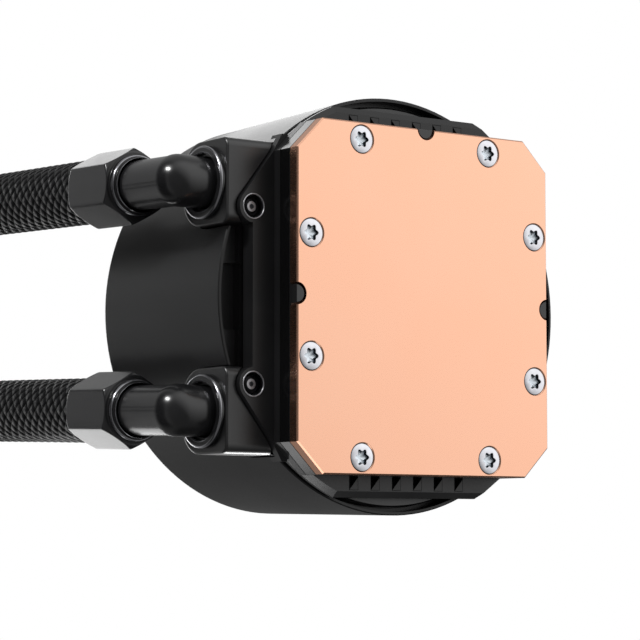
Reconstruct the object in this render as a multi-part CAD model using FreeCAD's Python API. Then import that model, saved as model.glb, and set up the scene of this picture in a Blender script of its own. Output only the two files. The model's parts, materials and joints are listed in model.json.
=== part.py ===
import FreeCAD, Part
import math
import os

# A closed-loop liquid cooler for a processor: a pump head on a copper cold plate, two hoses
# and a radiator. Millimetres. The origin is the centre of the cold plate's contact face,
# +Z points from the processor into the pump head, and the hose ports face -X.

V = FreeCAD.Vector
x_axis = V(1, 0, 0)
y_axis = V(0, 1, 0)
z_axis = V(0, 0, 1)

# Clearances that the fits share
slide_gap = 0.1
seam_gap = 0.25
cap_gap = 0.3
cut_over = 2.0

# Cold plate
plate_width = 56.4
plate_length = 62.0
plate_thickness = 2.2
plate_chamfer = 5.5
plate_edge = 0.25
notch_radius = 1.95
microfin_height = 2.2
microfin_thickness = 0.6
microfin_pitch = 1.3

# Countersunk plate screws
plate_screw_head = 5.1
plate_screw_shank = 2.5
plate_screw_length = 9.0
plate_screw_sink = 0.1
plate_screw_inset = 3.05
side_screw_rows = {-1: 10.7, 1: 13.3}
end_screw_x = 14.3
star_outer = 1.42
star_inner = 1.02
star_depth = 1.3

# Seal frame between the cold plate and the pump base
frame_thickness = 3.1
frame_edge = 0.2
window_margin_x = 10.2
window_margin_y = 11.0
window_corner = 5.0
seal_land = 1.5
seal_width = 2.0
seal_depth = 1.5

# Jet plate over the microfins
jet_plate_margin = 4.5
jet_slot_width = 2.0
jet_slot_margin = 3.0
microfin_margin_x = 6.0
microfin_margin_y = 5.0

# Pump base: a foot with the plate's outline, and a flange with bracket ledges and ears
foot_thickness = 1.7
flange_thickness = 3.0
flange_radius = 37.9
flange_right_corner = (17.0, 22.3)
flange_right_slant = 0.7
ledge_width = 3.8
left_edge_width = 4.5
flange_arc_start_x = 25.4
flange_lip_thickness = 1.4
flange_corner_x = 26.6
flange_corner_y = 28.7
flange_shoulder_x = 28.6
flange_shoulder_y = 25.2
ledge_chamfer_width = 1.1
ledge_chamfer_depth = 0.8
ratchet_count = 6
ratchet_pitch = 4.75
ratchet_shift = 0.8
ratchet_width = 2.0
ratchet_reach = 2.5
ratchet_depth = 1.8
ear_x = 32.5
ear_y = 15.45
ear_radius = 2.9
ear_recess_radius = 2.3
ear_recess_depth = 2.2
ear_screw_head_radius = 1.8
ear_screw_head_edge = 0.35
ear_screw_head_height = 1.5
ear_screw_shank = 2.0
ear_screw_length = 4.2
ear_socket = 0.55

# Pump housing
disc_radius = 36.4
disc_thickness = 3.0
disc_recess = 0.8
disc_edge = 0.3
body_radius = 28.0
body_height = 12.3
chamber_radius = 16.0
chamber_floor = 3.0
boss_face_x = 37.4
boss_root_x = 22.0
boss_inner_y = 12.4
boss_outer_y = 27.5
boss_near_z = 8.0
boss_far_z = 22.3
boss_near_round = 1.6
boss_far_round = 5.5
boss_end_round = 0.4
outlet_half_width = 5.8
outlet_left_edge = 32.8
outlet_depth = 2.2
step_left_edge = 33.1
step_depth = 1.2
passage_radius = 3.0
feed_radius = 2.5
feed_y = 11.5
return_margin_x = 3.0
return_margin_y = 2.5

# Ports and swivel elbows
port_y = 20.0
port_z = 15.0
collar_radius = 6.5
collar_lip = 1.0
collar_wall_gap = 0.1
collar_thread_radius = 5.0
collar_thread_length = 3.6
elbow_radius = 4.5
elbow_bore = 3.0
elbow_x = 43.1
elbow_lean = 2.3
spigot_radius = 4.3
spigot_length = 5.0
elbow_seal_width = 1.5
elbow_seal_section = 0.9
ferrule_near_z = 29.0
ferrule_length = 11.1
ferrule_across_flats = 11.7
ferrule_edge = 0.8
ferrule_nose_wall = 0.45
ferrule_nose_length = 2.0
ferrule_step_wall = 1.0
ferrule_step_length = 1.2
ferrule_nose_round = 0.2

# Impeller and its motor
impeller_radius = 13.0
impeller_plate = 1.2
blade_height = 2.6
blade_thickness = 1.0
blade_count = 7
hub_radius = 4.0
impeller_floor_gap = 0.6
shaft_radius = 1.0
shaft_socket = 1.0
bush_radius = 2.2
rotor_radius = 10.0
rotor_length = 11.0
can_gap = 0.8
can_wall = 0.9
can_flange = 1.5
stator_gap = 0.8
stator_yoke = 3.0
stator_height = 6.0
stator_teeth = 6
tooth_width = 5.0
coil_thickness = 1.4
coil_end_gap = 0.6
post_inset = 2.4
post_radius = 1.8
post_count = 3
board_radius = 30.0
board_thickness = 1.6
board_height = 9.5
board_notch_depth = 4.0
board_notch_half = 6.0

# Cap over the pump
cap_near_z = 10.0
cap_far_z = 49.6
cap_near_radius = 37.9
cap_far_radius = 37.2
cap_wall = 1.2
cap_seat_width = 1.6
cap_seat_height = 1.5
cap_edge = 0.8
cap_rim_width = 0.6
cap_rim_depth = 2.8
cap_rim_edge = 0.2
face_thickness = 1.8
face_rim = 2.2
face_recess = 0.4

# Radiator
radiator_x = -206.5
radiator_width = 120.0
radiator_thickness = 27.0
core_margin = 1.0
port_tank_height = 18.0
end_tank_height = 14.0
tank_corner = 3.0
tank_wall = 4.0
header_sheet = 2.0
core_depth = 18.0
tube_count = 12
tube_thickness = 2.0
tube_end_flat = 0.02
fin_folds = 26
fin_sheet = 0.35
side_sheet = 1.2
side_fold = 1.0
fan_hole_inset = 7.5
fan_hole_radius = 1.6
fan_flange_width = 13.0
stub_radius = 7.5
stub_height = 4.0
fill_plug_radius = 5.5
fill_plug_height = 1.8
fill_plug_thread = 4.0
fill_slot_width = 1.4
hose_stand = 16.9

# Hoses: the points of each route, chosen by hand, from the pump's ferrule to the radiator's
hose_diameter = 11.7
upper_route = [(-43.1, -21.02, 40.2), (-43.1, -23.83, 110.0), (-49.5, -26.2, 190.0),
               (-71.5, -27.2, 259.0), (-109.0, -26.0, 289.0), (-161.0, -23.5, 287.0),
               (-197.0, -21.5, 251.5), (-206.5, -20.0, 212.0), (-206.5, -20.0, 182.12)]
lower_route = [(-43.1, 18.98, 40.2), (-43.1, 16.2, 109.3), (-48.0, 14.9, 187.0),
               (-68.0, 14.8, 255.0), (-105.0, 16.0, 284.5), (-157.5, 18.0, 284.0),
               (-196.0, 19.3, 250.0), (-206.5, 20.0, 211.0), (-206.5, 20.0, 182.12)]

# Levels along Z that the pieces share
frame_z = plate_thickness
foot_z = frame_z + frame_thickness
flange_z = foot_z + foot_thickness
body_z = flange_z + flange_thickness
disc_z = body_z + disc_recess
disc_top_z = disc_z + disc_thickness
body_top_z = body_z + body_height
chamber_z = body_z + chamber_floor
can_top_z = body_top_z + can_flange
impeller_z = chamber_z + impeller_floor_gap
rotor_z = impeller_z + blade_height + impeller_plate
ferrule_far_z = ferrule_near_z + ferrule_length
core_low_z = end_tank_height
core_high_z = core_low_z + radiator_width + 2 * core_margin
radiator_height = core_high_z + port_tank_height
radiator_ferrule_z = radiator_height + hose_stand
hose_end_z = radiator_ferrule_z + ferrule_length

# Sizes that follow from the cold plate, the housing's body and the fan
window_width = plate_width - 2 * window_margin_x
window_length = plate_length - 2 * window_margin_y
jet_plate_width = window_width - 2 * jet_plate_margin
microfin_area_width = window_width - 2 * microfin_margin_x
microfin_area_length = window_length - 2 * microfin_margin_y
jet_slot_length = microfin_area_length - 2 * jet_slot_margin
flange_flat_half = plate_length / 2 + ledge_width
flange_right_edge = plate_width / 2 + ledge_width
flange_left_edge = plate_width / 2 + left_edge_width
return_x = window_width / 2 - return_margin_x
return_y = window_length / 2 - return_margin_y
post_ring = body_radius - post_inset
stator_outer = post_ring - post_radius - stator_gap
fan_hole_spacing = radiator_width - 2 * fan_hole_inset


def box(x0, x1, y0, y1, z0, z1):
    return Part.makeBox(x1 - x0, y1 - y0, z1 - z0, V(x0, y0, z0))


def rod(radius, length, base, axis=z_axis):
    return Part.makeCylinder(radius, length, base, axis)


def ring(outer, inner, length, base, axis=z_axis):
    return rod(outer, length, base, axis).cut(rod(inner, length, base, axis))


def prism(points, z0, z1):
    corners = [V(x, y, z0) for x, y in points]
    return Part.Face(Part.makePolygon(corners + corners[:1])).extrude(V(0, 0, z1 - z0))


def mirror_y(shape):
    return shape.mirror(V(0, 0, 0), y_axis)


def fuse_all(shapes):
    return shapes[0].multiFuse(shapes[1:]).removeSplitter()


def cut_all(shape, tools):
    return shape.cut(Part.makeCompound(tools))


def plate_outline(z0, z1):
    """The cold plate's rectangle with cut corners, shared by the frame and the foot."""
    half_x = plate_width / 2
    half_y = plate_length / 2
    inner_x = half_x - plate_chamfer
    inner_y = half_y - plate_chamfer
    points = [(inner_x, -half_y), (half_x, -inner_y), (half_x, inner_y), (inner_x, half_y),
              (-inner_x, half_y), (-half_x, inner_y), (-half_x, -inner_y), (-inner_x, -half_y)]
    return prism(points, z0, z1)


def outer_edges(shape, z):
    """The edges that lie in the level z."""
    return [e for e in shape.Edges if e.BoundBox.ZMin > z - 0.001 and e.BoundBox.ZMax < z + 0.001]


def rounded_window(grow, z0, z1):
    half_x = window_width / 2 + grow
    half_y = window_length / 2 + grow
    block = box(-half_x, half_x, -half_y, half_y, z0, z1)
    upright = [e for e in block.Edges if abs(e.tangentAt(e.FirstParameter).z) > 0.99]
    return block.makeFillet(window_corner + grow, upright)


def screw_places():
    """Centres of the eight plate screws: two on each side, two on each end."""
    side_x = plate_width / 2 - plate_screw_inset
    end_y = plate_length / 2 - plate_screw_inset
    sides = [(s * side_x, t * side_screw_rows[s]) for s in (-1, 1) for t in (-1, 1)]
    ends = [(s * end_screw_x, t * end_y) for s in (-1, 1) for t in (-1, 1)]
    return sides + ends


def screw_holes(z0, z1, radius):
    return [rod(radius, z1 - z0, V(x, y, z0)) for x, y in screw_places()]


def star(outer, inner, depth, x, y, z):
    """A six-lobed driver recess as a twelve-cornered star."""
    points = []
    for i in range(12):
        r = outer if i % 2 == 0 else inner
        a = math.radians(30 * i)
        points.append((x + r * math.cos(a), y + r * math.sin(a)))
    return prism(points, z, z + depth)


def make_cold_plate():
    plate = plate_outline(0, plate_thickness)
    plate = plate.makeChamfer(plate_edge, outer_edges(plate, 0))
    head_r = plate_screw_head / 2 + slide_gap
    shank_r = plate_screw_shank / 2 + slide_gap
    sink = head_r - shank_r
    cuts = screw_holes(0, plate_thickness, shank_r)
    for x, y in screw_places():
        cuts.append(Part.makeCone(head_r, shank_r, sink, V(x, y, plate_screw_sink)))
        cuts.append(rod(head_r, plate_screw_sink, V(x, y, 0)))
    for x, y in ((-plate_width / 2, 0), (plate_width / 2, 0), (0, -plate_length / 2)):
        cuts.append(rod(notch_radius, plate_thickness, V(x, y, 0)))
    plate = cut_all(plate, cuts)
    count = int(microfin_area_width / microfin_pitch)
    first = -(count - 1) * microfin_pitch / 2
    fins = []
    for i in range(count):
        x = first + i * microfin_pitch
        fins.append(box(x - microfin_thickness / 2, x + microfin_thickness / 2,
                        -microfin_area_length / 2, microfin_area_length / 2,
                        plate_thickness, plate_thickness + microfin_height))
    return fuse_all([plate] + fins)


def make_plate_screw(x, y):
    head_r = plate_screw_head / 2
    shank_r = plate_screw_shank / 2
    head = Part.makeCone(head_r, shank_r, head_r - shank_r, V(x, y, plate_screw_sink))
    screw = head.fuse(rod(shank_r, plate_screw_length - plate_screw_sink, V(x, y, plate_screw_sink)))
    return screw.cut(star(star_outer, star_inner, star_depth, x, y, plate_screw_sink))


def seal_ring(gap, z0, z1):
    outer = rounded_window(seal_land + seal_width - gap, z0, z1)
    return outer.cut(rounded_window(seal_land + gap, z0, z1))


def make_seal_frame():
    frame = plate_outline(frame_z, foot_z)
    frame = frame.makeChamfer(frame_edge, outer_edges(frame, frame_z) + outer_edges(frame, foot_z))
    cuts = screw_holes(frame_z, foot_z, plate_screw_shank / 2 + slide_gap)
    cuts.append(rounded_window(0, frame_z, foot_z))
    cuts.append(seal_ring(0, frame_z, frame_z + seal_depth))
    return cut_all(frame, cuts)


def make_jet_plate():
    z0 = frame_z + microfin_height
    half_x = jet_plate_width / 2
    half_y = window_length / 2 - slide_gap
    plate = box(-half_x, half_x, -half_y, half_y, z0, foot_z)
    slot = box(-jet_slot_width / 2, jet_slot_width / 2, -jet_slot_length / 2, jet_slot_length / 2,
               z0, foot_z)
    return plate.cut(slot)


def flange_outline(grow, z0, z1):
    """The flange's flats, corner arcs, shoulders, diagonals and ears."""
    disc = rod(flange_radius + grow, z1 - z0, V(0, 0, z0))
    half_y = flange_flat_half + grow
    disc = disc.common(box(-flange_arc_start_x, 0, -half_y, half_y, z0, z1))
    right_x = flange_right_edge + grow
    cut_x, low_x = flange_right_corner
    low_y = half_y - flange_right_slant * (low_x - cut_x)
    right = [(0, 0), (right_x, 0), (right_x, low_y - (right_x - low_x)), (low_x, low_y), (cut_x, half_y),
             (0, half_y)]
    right = prism(right, z0, z1)
    ear_r = ear_radius + grow
    shapes = [disc, right, mirror_y(right), box(-flange_left_edge - grow, 0, -ear_y, ear_y, z0, z1)]
    shoulder = V(-flange_shoulder_x - grow, flange_shoulder_y + grow / 2, 0)
    to_ear = V(-ear_x, ear_y, 0) - shoulder
    reach = to_ear.Length
    lean = math.asin(ear_r / reach)
    heading = math.atan2(to_ear.y, to_ear.x) - lean
    span = math.sqrt(reach ** 2 - ear_r ** 2)
    touch = (shoulder.x + span * math.cos(heading), shoulder.y + span * math.sin(heading))
    side = [(0, 0), (0, flange_corner_y + grow), (-flange_corner_x - grow / 2, flange_corner_y + grow),
            (shoulder.x, shoulder.y), touch, (-ear_x, ear_y), (-ear_x, 0)]
    side = prism(side[::-1], z0, z1).fuse(rod(ear_r, z1 - z0, V(-ear_x, ear_y, z0)))
    return fuse_all(shapes + [side, mirror_y(side)])


def ratchet_cuts():
    """Wedge-shaped slots in the ledges, deep beside the foot and running out outwards."""
    cuts = []
    half_y = plate_length / 2
    for i in range(ratchet_count):
        x = ratchet_shift + (i - (ratchet_count - 1) / 2) * ratchet_pitch - ratchet_width / 2
        corners = [V(x, half_y, flange_z), V(x, half_y + ratchet_reach, flange_z),
                   V(x, half_y, flange_z + ratchet_depth)]
        wedge = Part.Face(Part.makePolygon(corners + corners[:1])).extrude(V(ratchet_width, 0, 0))
        cuts.extend([wedge, mirror_y(wedge)])
    return cuts


def ledge_chamfers():
    """The flange's bevel, along the ledges and round the arcs beside the ears."""
    corners = [V(-plate_width, flange_flat_half, flange_z),
               V(-plate_width, flange_flat_half - ledge_chamfer_width, flange_z),
               V(-plate_width, flange_flat_half, flange_z + ledge_chamfer_depth)]
    wedge = Part.Face(Part.makePolygon(corners + corners[:1])).extrude(V(2 * plate_width, 0, 0))
    arc = rod(flange_radius + cut_over, ledge_chamfer_depth, V(0, 0, flange_z))
    arc = arc.cut(Part.makeCone(flange_radius - ledge_chamfer_width, flange_radius, ledge_chamfer_depth,
                                V(0, 0, flange_z)))
    arc = arc.common(box(-flange_arc_start_x, 0, flange_shoulder_y, flange_flat_half + cut_over,
                         flange_z, body_z))
    return [wedge, mirror_y(wedge), arc, mirror_y(arc)]


def flow_holes(z0, z1):
    height = z1 - z0
    return [rod(feed_radius, height, V(0, feed_y, z0)),
            rod(feed_radius, height, V(-return_x, return_y, z0))]


def make_pump_base():
    foot = plate_outline(foot_z, flange_z)
    base = fuse_all([foot, flange_outline(0, flange_z, body_z)])
    lip_z = flange_z + flange_lip_thickness
    undercut = ring(flange_radius + 1, disc_radius - slide_gap, body_z - lip_z, V(0, 0, lip_z))
    undercut = undercut.cut(box(-2 * ear_x, -flange_shoulder_x, -2 * ear_y, 2 * ear_y, lip_z, body_z))
    tip_z = plate_screw_length + slide_gap
    cuts = screw_holes(foot_z, tip_z, plate_screw_shank / 2 + slide_gap)
    cuts += [undercut] + ratchet_cuts() + ledge_chamfers() + flow_holes(foot_z, body_z)
    cuts.append(box(-jet_slot_width, jet_slot_width, 0, feed_y, foot_z, flange_z))
    for s in (-1, 1):
        cuts.append(rod(ear_recess_radius, ear_recess_depth, V(-ear_x, s * ear_y, flange_z)))
        cuts.append(rod(ear_screw_shank / 2 + slide_gap, flange_thickness, V(-ear_x, s * ear_y, flange_z)))
    return cut_all(base, cuts)


def ear_screw_top_z():
    return flange_z + ear_recess_depth - ear_screw_head_height + ear_screw_length


def make_ear_screw(side):
    base = V(-ear_x, side * ear_y, ear_screw_top_z() - ear_screw_length)
    head = rod(ear_screw_head_radius, ear_screw_head_height, base)
    head = head.makeChamfer(ear_screw_head_edge, outer_edges(head, base.z))
    screw = head.fuse(rod(ear_screw_shank / 2, ear_screw_length, base))
    socket = [(base.x + ear_socket * math.cos(math.radians(60 * i)),
               base.y + ear_socket * math.sin(math.radians(60 * i))) for i in range(6)]
    return screw.cut(prism(socket, base.z, base.z + ear_screw_head_height * 0.6))


def boss_profile(grow, x0, x1):
    """The port boss, square towards the cold plate and well rounded towards the cap's face."""
    block = box(x0, x1, boss_inner_y - grow, boss_outer_y + grow, boss_near_z - grow, boss_far_z + grow)
    along = [e for e in block.Edges if abs(e.tangentAt(e.FirstParameter).x) > 0.99]
    far = [e for e in along if e.CenterOfMass.z > port_z]
    near = [e for e in along if e.CenterOfMass.z < port_z]
    return block.makeFillet(boss_far_round + grow, far).makeFillet(boss_near_round, [
        e for e in block.makeFillet(boss_far_round + grow, far).Edges
        if any((e.CenterOfMass - n.CenterOfMass).Length < 0.01 for n in near)])


def make_pump_housing():
    disc = rod(disc_radius, disc_thickness, V(0, 0, disc_z))
    disc = disc.makeChamfer(disc_edge, outer_edges(disc, disc_z))
    body = rod(body_radius, body_height, V(0, 0, body_z))
    boss = boss_profile(0, -boss_face_x, -boss_root_x)
    end = [e for e in boss.Edges if e.BoundBox.XMax < -boss_face_x + 0.001]
    boss = boss.makeFillet(boss_end_round, end)
    housing = fuse_all([disc, body, boss, mirror_y(boss)])
    cuts = [flange_outline(seam_gap, flange_z, body_z)]
    cuts.append(rod(chamber_radius, body_top_z - chamber_z, V(0, 0, chamber_z)))
    for s in (-1, 1):
        face = V(-boss_face_x, s * port_y, port_z)
        cuts.append(rod(collar_thread_radius, collar_thread_length, face, x_axis))
        cuts.append(rod(spigot_radius + slide_gap, collar_thread_length + spigot_length, face, x_axis))
        inner_x = -return_x + feed_radius if s > 0 else -chamber_radius / 2
        cuts.append(rod(passage_radius, boss_face_x + inner_x, face, x_axis))
        cuts.append(rod(ear_screw_shank / 2 + slide_gap, ear_screw_top_z() + slide_gap - body_z,
                        V(-ear_x, s * ear_y, body_z)))
    cuts.append(rod(passage_radius, port_y - chamber_radius / 2,
                    V(-chamber_radius / 2, -port_y, port_z), y_axis))
    cuts.append(rod(feed_radius, chamber_floor, V(0, feed_y, body_z)))
    cuts.append(rod(feed_radius, port_z - body_z, V(-return_x, return_y, body_z)))
    cuts.append(rod(feed_radius, abs(port_y - return_y), V(-return_x, min(return_y, port_y), port_z),
                    y_axis))
    cuts.append(box(-disc_radius - 1, -outlet_left_edge, -outlet_half_width, outlet_half_width,
                    disc_z, disc_z + outlet_depth))
    cuts.append(box(-disc_radius - 1, -step_left_edge, -boss_inner_y, boss_inner_y,
                    disc_z, disc_z + step_depth))
    cuts.append(rod(shaft_radius + slide_gap / 2, shaft_socket, V(0, 0, chamber_z - shaft_socket)))
    return cut_all(housing, cuts)


def make_collar(side):
    face = V(-boss_face_x, side * port_y, port_z)
    lip = rod(collar_radius, collar_lip, face, -x_axis)
    thread = rod(collar_thread_radius - slide_gap, collar_thread_length - slide_gap, face, x_axis)
    bore = rod(elbow_radius + collar_wall_gap, collar_lip + collar_thread_length,
               V(-boss_face_x - collar_lip, side * port_y, port_z), x_axis)
    return fuse_all([lip, thread]).cut(bore)


def leaned(shape, side):
    """The swivelling pieces stand a little off upright at rest."""
    shape.rotate(V(0, side * port_y, port_z), x_axis, elbow_lean)
    return shape


def spigot_end_x():
    return -boss_face_x + collar_thread_length + spigot_length - slide_gap


def make_elbow(side):
    """A bent tube with a ball corner: one leg turns in the port, the other holds the hose."""
    corner = V(-elbow_x, side * port_y, port_z)
    lip_x = -boss_face_x + collar_thread_length
    outer = [rod(elbow_radius, lip_x + elbow_x, corner, x_axis),
             rod(spigot_radius, spigot_end_x() + elbow_x, corner, x_axis),
             Part.makeSphere(elbow_radius, corner),
             rod(elbow_radius, ferrule_far_z - port_z, corner)]
    bore = [rod(elbow_bore, spigot_end_x() + elbow_x, corner, x_axis),
            Part.makeSphere(elbow_bore, corner),
            rod(elbow_bore, ferrule_far_z - port_z, corner)]
    groove_x = lip_x + spigot_length / 2 - elbow_seal_width / 2
    groove = ring(spigot_radius, spigot_radius - elbow_seal_section, elbow_seal_width,
                  V(groove_x, side * port_y, port_z), x_axis)
    return leaned(fuse_all(outer).cut(fuse_all(bore)).cut(groove), side)


def make_elbow_seal(side):
    lip_x = -boss_face_x + collar_thread_length
    groove_x = lip_x + spigot_length / 2 - elbow_seal_width / 2
    return ring(spigot_radius + slide_gap / 2, spigot_radius - elbow_seal_section,
                elbow_seal_width, V(groove_x, side * port_y, port_z), x_axis)


def hexagon(across_flats, x, y, z, length):
    """A hexagonal bar along Z with flats towards X and corners towards Y."""
    radius = across_flats / math.sqrt(3)
    points = [(x + radius * math.sin(math.radians(60 * i)), y + radius * math.cos(math.radians(60 * i)))
              for i in range(6)]
    return prism(points[::-1], z, z + length)


def make_ferrule(x, y, low_z):
    """The hexagonal sleeve that clamps the hose, with a stepped round nose on the fitting's side."""
    sleeve = hexagon(ferrule_across_flats, x, y, low_z, ferrule_length)
    corner_r = ferrule_across_flats / math.sqrt(3)
    turned = rod(corner_r, ferrule_length - 2 * ferrule_edge, V(x, y, low_z + ferrule_edge))
    small_r = corner_r - ferrule_edge
    turned = fuse_all([turned, Part.makeCone(small_r, corner_r, ferrule_edge, V(x, y, low_z)),
                       Part.makeCone(corner_r, small_r, ferrule_edge,
                                     V(x, y, low_z + ferrule_length - ferrule_edge))])
    nose = []
    for wall, length in ((ferrule_step_wall, ferrule_step_length), (ferrule_nose_wall, ferrule_nose_length)):
        step = rod(elbow_radius + wall, length + ferrule_edge, V(x, y, low_z - length))
        nose.append(step.makeFillet(ferrule_nose_round, outer_edges(step, low_z - length)))
    bore = rod(elbow_radius + slide_gap, ferrule_length + ferrule_nose_length,
               V(x, y, low_z - ferrule_nose_length))
    return fuse_all([sleeve.common(turned)] + nose).cut(bore)


def make_impeller():
    plate_z = impeller_z + blade_height
    hub = rod(hub_radius, blade_height + impeller_plate, V(0, 0, impeller_z))
    plate = rod(impeller_radius, impeller_plate, V(0, 0, plate_z))
    start = V(hub_radius - 0.5, 0, impeller_z)
    middle = V(impeller_radius * 0.6, 1.4, impeller_z)
    end = V(impeller_radius * 0.88, impeller_radius * 0.42, impeller_z)
    shift = V(0, -blade_thickness, 0)
    edges = [Part.Arc(start, middle, end).toShape(),
             Part.LineSegment(end, end + shift).toShape(),
             Part.Arc(end + shift, middle + shift, start + shift).toShape(),
             Part.LineSegment(start + shift, start).toShape()]
    blade = Part.Face(Part.Wire(edges)).extrude(V(0, 0, blade_height))
    blades = []
    for i in range(blade_count):
        copy = blade.copy()
        copy.rotate(V(0, 0, 0), z_axis, 360 * i / blade_count)
        blades.append(copy)
    bore = rod(bush_radius, blade_height + impeller_plate, V(0, 0, impeller_z))
    return fuse_all([hub, plate] + blades).cut(bore)


def make_shaft():
    low = chamber_z - shaft_socket
    high = rotor_z + rotor_length + can_gap + can_wall / 2
    return rod(shaft_radius, high - low, V(0, 0, low))


def can_dome_z():
    return rotor_z + rotor_length + can_gap


def make_pump_can():
    """The dry can: a flange over the chamber, a dome round the rotor and posts for the board."""
    flange = rod(body_radius, can_flange, V(0, 0, body_top_z))
    dome_r = rotor_radius + can_gap + can_wall
    dome_top = can_dome_z() + can_wall
    dome = rod(dome_r, dome_top - body_top_z, V(0, 0, body_top_z))
    posts = []
    for i in range(post_count):
        a = math.radians(60 + 360 * i / post_count)
        posts.append(rod(post_radius, board_height - can_flange,
                         V(post_ring * math.cos(a), post_ring * math.sin(a), can_top_z)))
    inside = rod(rotor_radius + can_gap, can_dome_z() - body_top_z, V(0, 0, body_top_z))
    socket = rod(shaft_radius + slide_gap / 2, can_wall / 2, V(0, 0, can_dome_z()))
    return fuse_all([flange, dome] + posts).cut(fuse_all([inside, socket]))


def make_stator_core():
    inner_r = rotor_radius + can_gap + can_wall + seam_gap
    yoke = ring(stator_outer, stator_outer - stator_yoke, stator_height, V(0, 0, can_top_z))
    teeth = []
    for i in range(stator_teeth):
        tooth = box(inner_r, stator_outer - stator_yoke / 2, -tooth_width / 2, tooth_width / 2,
                    can_top_z, can_top_z + stator_height)
        tooth.rotate(V(0, 0, 0), z_axis, 360 * i / stator_teeth)
        teeth.append(tooth)
    hollow = rod(inner_r, stator_height, V(0, 0, can_top_z))
    return fuse_all([yoke] + teeth).cut(hollow)


def make_coils():
    inner_r = rotor_radius + can_gap + can_wall + seam_gap + coil_end_gap
    outer_r = stator_outer - stator_yoke - coil_end_gap
    half = tooth_width / 2
    coils = []
    for i in range(stator_teeth):
        low = can_top_z + slide_gap
        coil = box(inner_r, outer_r, -half - coil_thickness, half + coil_thickness,
                   low, can_top_z + stator_height + coil_thickness)
        coil = coil.cut(box(inner_r, outer_r, -half - slide_gap, half + slide_gap,
                            low - 1, can_top_z + stator_height + slide_gap))
        coil.rotate(V(0, 0, 0), z_axis, 360 * i / stator_teeth)
        coils.append(coil)
    return Part.makeCompound(coils)


def make_board():
    z0 = body_top_z + board_height
    board = rod(board_radius, board_thickness, V(0, 0, z0))
    notch = box(-board_radius, -board_radius + board_notch_depth, -board_notch_half,
                board_notch_half, z0, z0 + board_thickness)
    return board.cut(notch)


def make_cap_shell():
    """The round cover: a drafted wall, a seat on the housing's disc and a rim for the face."""
    height = cap_far_z - cap_near_z
    outer = Part.makeCone(cap_near_radius, cap_far_radius, height, V(0, 0, cap_near_z))
    rim = [e for e in outer.Edges if e.Closed and e.CenterOfMass.z > cap_far_z - 0.01]
    outer = outer.makeFillet(cap_edge, rim)
    outer = outer.makeChamfer(cap_rim_edge, outer_edges(outer, cap_near_z))
    rebate = rod(cap_near_radius - cap_rim_width, cap_rim_depth, V(0, 0, cap_near_z))
    face_z = cap_far_z - face_thickness - face_recess
    inner_z = face_z - cap_wall
    hollow = Part.makeCone(cap_near_radius - cap_wall, cap_far_radius - cap_wall - 0.2,
                           inner_z - cap_near_z, V(0, 0, cap_near_z))
    pocket = rod(cap_far_radius - face_rim, face_thickness + face_recess, V(0, 0, face_z))
    window = rod(cap_far_radius - 2 * face_rim, cap_wall, V(0, 0, inner_z))
    shell = outer.cut(hollow).cut(pocket).cut(window).cut(rebate)
    seat_r = cap_near_radius - cap_wall
    seat = ring(seat_r, seat_r - cap_seat_width, cap_seat_height, V(0, 0, disc_top_z))
    shell = shell.fuse(seat)
    slot = boss_profile(cap_gap, -boss_face_x - cut_over, -boss_root_x)
    below = box(-boss_face_x - cut_over, -boss_root_x, boss_inner_y - cap_gap, boss_outer_y + cap_gap,
                cap_near_z - 1, port_z)
    slot = slot.fuse(below)
    return cut_all(shell, [slot, mirror_y(slot)])


def make_cap_face():
    radius = cap_far_radius - face_rim - slide_gap
    face_z = cap_far_z - face_thickness - face_recess
    face = rod(radius, face_thickness, V(0, 0, face_z))
    edge = [e for e in face.Edges if e.Closed and e.CenterOfMass.z > face_z + face_thickness / 2]
    return face.makeFillet(cap_edge / 2, edge)


def tank(z0, z1):
    half_x = radiator_thickness / 2
    half_y = radiator_width / 2
    block = box(radiator_x - half_x, radiator_x + half_x, -half_y, half_y, z0, z1)
    upright = [e for e in block.Edges if abs(e.tangentAt(e.FirstParameter).z) > 0.99]
    return block.makeFillet(tank_corner, upright)


def make_port_tank():
    block = tank(core_high_z, radiator_height)
    top = [e for e in block.Edges if e.BoundBox.ZMin > radiator_height - 0.01]
    block = block.makeFillet(tank_corner / 2, top)
    stubs = []
    bores = []
    for s in (-1, 1):
        base = V(radiator_x, s * port_y, radiator_height)
        stubs.append(rod(stub_radius, stub_height, base))
        bores.append(rod(elbow_radius + slide_gap, stub_height + port_tank_height / 2,
                         V(radiator_x, s * port_y, radiator_height - port_tank_height / 2)))
    bores.append(rod(fill_plug_thread + slide_gap, port_tank_height / 2,
                     V(radiator_x, 0, radiator_height - port_tank_height / 2)))
    hollow = box(radiator_x - core_depth / 2, radiator_x + core_depth / 2,
                 -radiator_width / 2 + tank_corner, radiator_width / 2 - tank_corner,
                 core_high_z + header_sheet, radiator_height - tank_wall)
    return fuse_all([block] + stubs).cut(hollow).cut(Part.makeCompound(bores))


def make_end_tank():
    block = tank(0, end_tank_height)
    low = [e for e in block.Edges if e.BoundBox.ZMax < 0.01]
    block = block.makeFillet(tank_corner / 2, low)
    hollow = box(radiator_x - core_depth / 2, radiator_x + core_depth / 2,
                 -radiator_width / 2 + tank_corner, radiator_width / 2 - tank_corner,
                 tank_wall, end_tank_height - header_sheet)
    return block.cut(hollow)


def tube_gap():
    room = radiator_width - 2 * side_sheet - tube_count * tube_thickness
    return room / (tube_count + 1)


def tube_centre(index):
    first = -radiator_width / 2 + side_sheet + tube_gap() + tube_thickness / 2
    return first + index * (tube_gap() + tube_thickness)


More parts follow.
